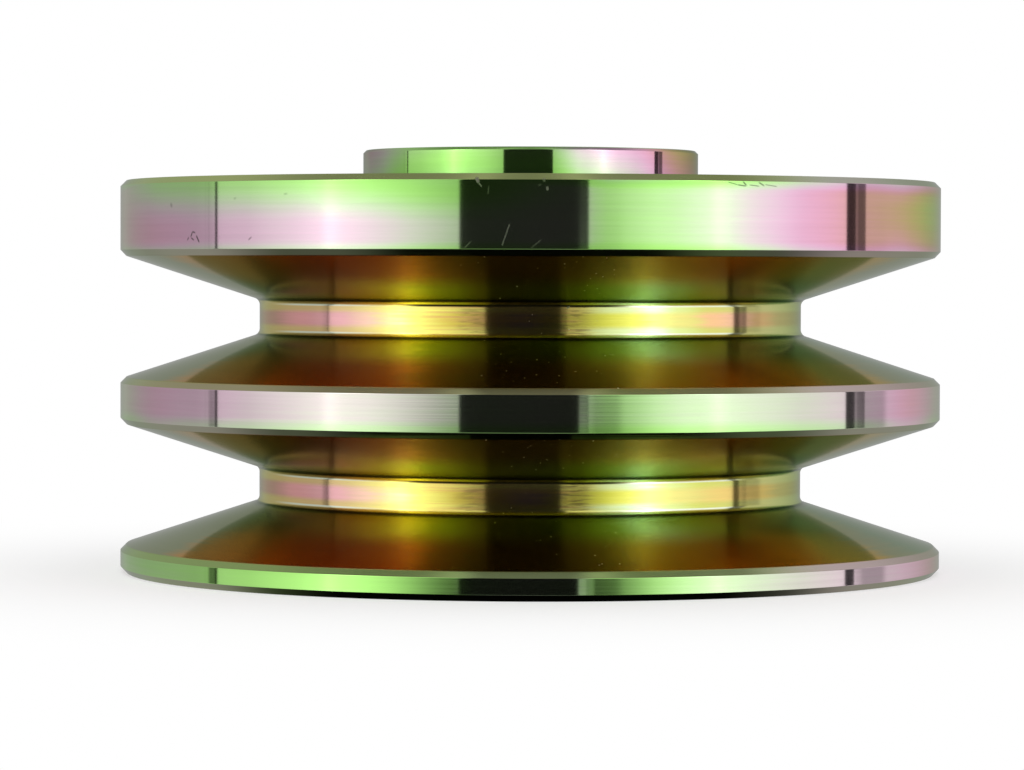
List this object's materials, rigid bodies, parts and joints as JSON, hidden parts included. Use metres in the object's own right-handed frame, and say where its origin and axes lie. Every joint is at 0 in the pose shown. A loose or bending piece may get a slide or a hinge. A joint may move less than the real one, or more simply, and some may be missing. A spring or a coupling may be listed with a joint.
{
  "type": "alternator pulley",
  "caption": "Turned steel V-belt pulley for an alternator shaft, with deep belt grooves, a thick rim, a raised hub and a nut recess.",
  "frame": {"origin": "centre of the nut-side face, on the shaft axis, where the pulley stands", "axes": "+Z along the shaft axis, from the nut-side face to the hub that bears on the alternator; X and Y are any two directions across it"},
  "size_m": [0.084, 0.084, 0.0431],
  "materials": {
    "chromated_steel": "turned steel, zinc plated with a yellow iridescent chromate that runs from green to pink"
  },
  "bodies": {
    "root": {"pulley": "chromated_steel"}
  },
  "joints": []
}
